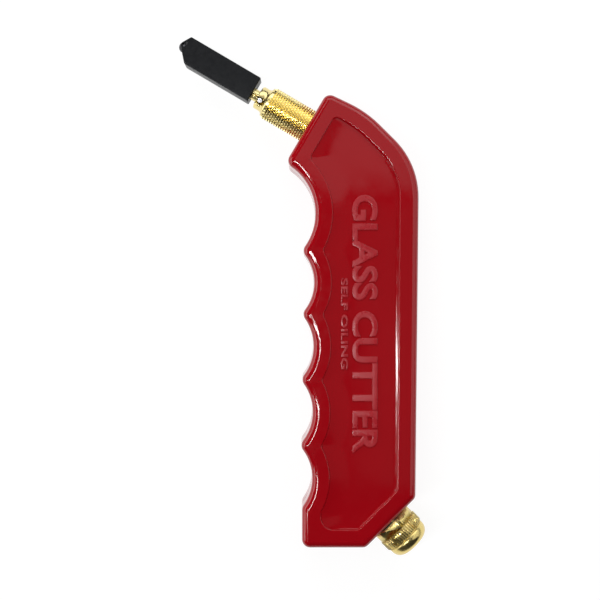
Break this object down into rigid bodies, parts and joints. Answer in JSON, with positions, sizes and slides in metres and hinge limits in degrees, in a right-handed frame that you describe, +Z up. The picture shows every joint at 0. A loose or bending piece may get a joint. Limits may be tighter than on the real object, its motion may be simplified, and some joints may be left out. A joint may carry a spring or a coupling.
{
  "type": "glass cutter",
  "caption": "Pistol-grip oil glass cutter: hollow red finger-grooved handle, knurled brass collar, black swivel head with a carbide wheel and a screw filler cap.",
  "frame": {"origin": "centre of the bounding box in plan, on the surface the tool lies on", "axes": "+X towards the back of the handle, +Y up the handle towards the head, +Z up through its thickness, out of the side that is seen"},
  "size_m": [0.0745, 0.156, 0.019],
  "materials": {
    "red_plastic": "glossy moulded",
    "brass": "polished, turned",
    "black_steel": "satin black oxide",
    "carbide": "ground",
    "spring_steel": "drawn wire and ground pin",
    "nitrile": "matt",
    "cotton": "braided"
  },
  "bodies": {
    "handle": {"handle_shell_lower": "red_plastic", "handle_shell_upper": "red_plastic", "nose_insert": "brass", "collar_gasket": "nitrile", "knurled_collar": "brass", "valve_spring": "spring_steel", "valve_retainer": "brass", "filler_neck": "brass", "neck_gasket": "nitrile"},
    "plunger": {"valve_plunger": "brass", "plunger_seal": "nitrile"},
    "shank_seal": {"shank_oring": "nitrile"},
    "head": {"head_shank": "brass", "swivel_pins": "spring_steel", "wick": "cotton", "head_body": "black_steel", "wheel_axle": "spring_steel"},
    "wheel": {"cutting_wheel": "carbide"},
    "cap_lift": {"cap_gasket": "nitrile"},
    "cap": {"filler_cap": "brass"}
  },
  "joints": [
    {"name": "head_press", "type": "slide", "parent": "handle", "child": "plunger", "axis": [0.8616, -0.5075, 0], "range_m": [0, 0.0008], "stiffness_N_per_m": 1500, "springref_m": -0.002, "deforming": ["valve_spring"]},
    {"name": "head_pull", "type": "slide", "parent": "plunger", "child": "shank_seal", "axis": [-0.8616, 0.5075, 0], "range_m": [0, 0.014]},
    {"name": "head_swivel", "type": "hinge", "parent": "shank_seal", "child": "head", "pos_m": [0.0015, 0.0514, 0.0095], "axis": [-0.8616, 0.5075, 0], "range_deg": [-7.5, 7.5]},
    {"name": "wheel_spin", "type": "hinge", "parent": "head", "child": "wheel", "pos_m": [-0.03612, 0.07541, 0.0095], "axis": [0, 0, 1], "continuous": true},
    {"name": "cap_rise", "type": "slide", "parent": "handle", "child": "cap_lift", "axis": [0.7071, -0.7071, 0], "range_m": [0, 0.00601]},
    {"name": "cap_turn", "type": "hinge", "parent": "cap_lift", "child": "cap", "pos_m": [0.0256, -0.0672, 0.0095], "axis": [0.7071, -0.7071, 0], "range_deg": [0, 1440]}
  ],
  "couplings": [
    {"joint": "cap_rise", "follows": "cap_turn", "m_per_rad": 0.00023873}
  ]
}
